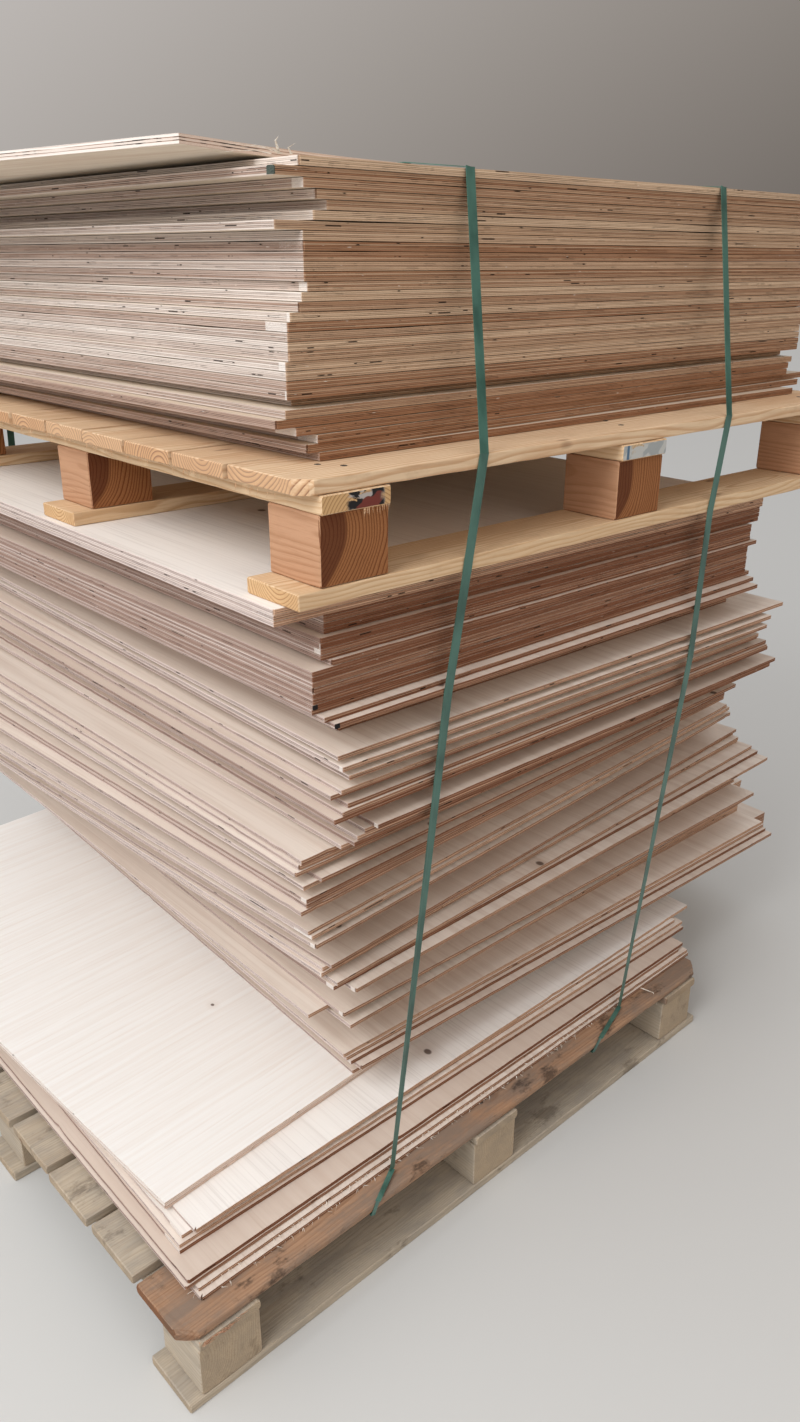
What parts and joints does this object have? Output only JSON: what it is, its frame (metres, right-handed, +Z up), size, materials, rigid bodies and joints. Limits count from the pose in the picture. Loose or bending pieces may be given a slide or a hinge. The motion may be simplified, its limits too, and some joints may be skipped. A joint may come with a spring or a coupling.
{
  "type": "strapped plywood stack on pallets",
  "caption": "Two tiers of loose plywood sheets, each on a block pallet, held together by two flat plastic straps.",
  "frame": {"origin": "on the floor, under the middle of the lower pallet's middle bottom board", "axes": "+Z up, X along the pallet's length, -Y towards the front with the straps' slanted ends"},
  "size_m": [1.7034, 1.5163, 1.552],
  "materials": {
    "thin_plywood": "matte raw veneer",
    "thick_plywood": "matte raw veneer",
    "weathered_pallet_wood": "matte, weathered",
    "new_pallet_wood": "matte, sawn",
    "strap_plastic": "satin, embossed"
  },
  "bodies": {
    "root": {"lower_pallet_blocks_front": "weathered_pallet_wood", "lower_pallet_blocks_middle": "weathered_pallet_wood", "lower_pallet_blocks_rear": "weathered_pallet_wood", "lower_pallet_bottom_board_front": "weathered_pallet_wood", "lower_pallet_bottom_board_middle": "weathered_pallet_wood", "lower_pallet_bottom_board_rear": "weathered_pallet_wood", "lower_pallet_deck_board_front": "weathered_pallet_wood", "lower_pallet_deck_boards": "weathered_pallet_wood", "lower_pallet_stringer_boards": "weathered_pallet_wood", "lower_sheets_pale": "thin_plywood", "lower_sheets_forward": "thin_plywood", "lower_sheets_loose_bottom": "thin_plywood", "lower_sheets_middle": "thin_plywood", "lower_sheets_packets": "thin_plywood", "lower_sheets_set_back": "thin_plywood", "strap_left": "strap_plastic", "strap_right": "strap_plastic", "upper_pallet_blocks_front": "new_pallet_wood", "upper_pallet_blocks_middle": "new_pallet_wood", "upper_pallet_blocks_rear": "new_pallet_wood", "upper_pallet_bottom_board_front": "new_pallet_wood", "upper_pallet_bottom_board_middle": "new_pallet_wood", "upper_pallet_bottom_board_rear": "new_pallet_wood", "upper_pallet_deck_board_front": "new_pallet_wood", "upper_pallet_deck_boards": "new_pallet_wood", "upper_pallet_stringer_boards": "new_pallet_wood", "upper_sheet_top": "thick_plywood", "upper_sheets_first_half": "thick_plywood", "upper_sheets_second_half": "thick_plywood"}
  },
  "joints": []
}
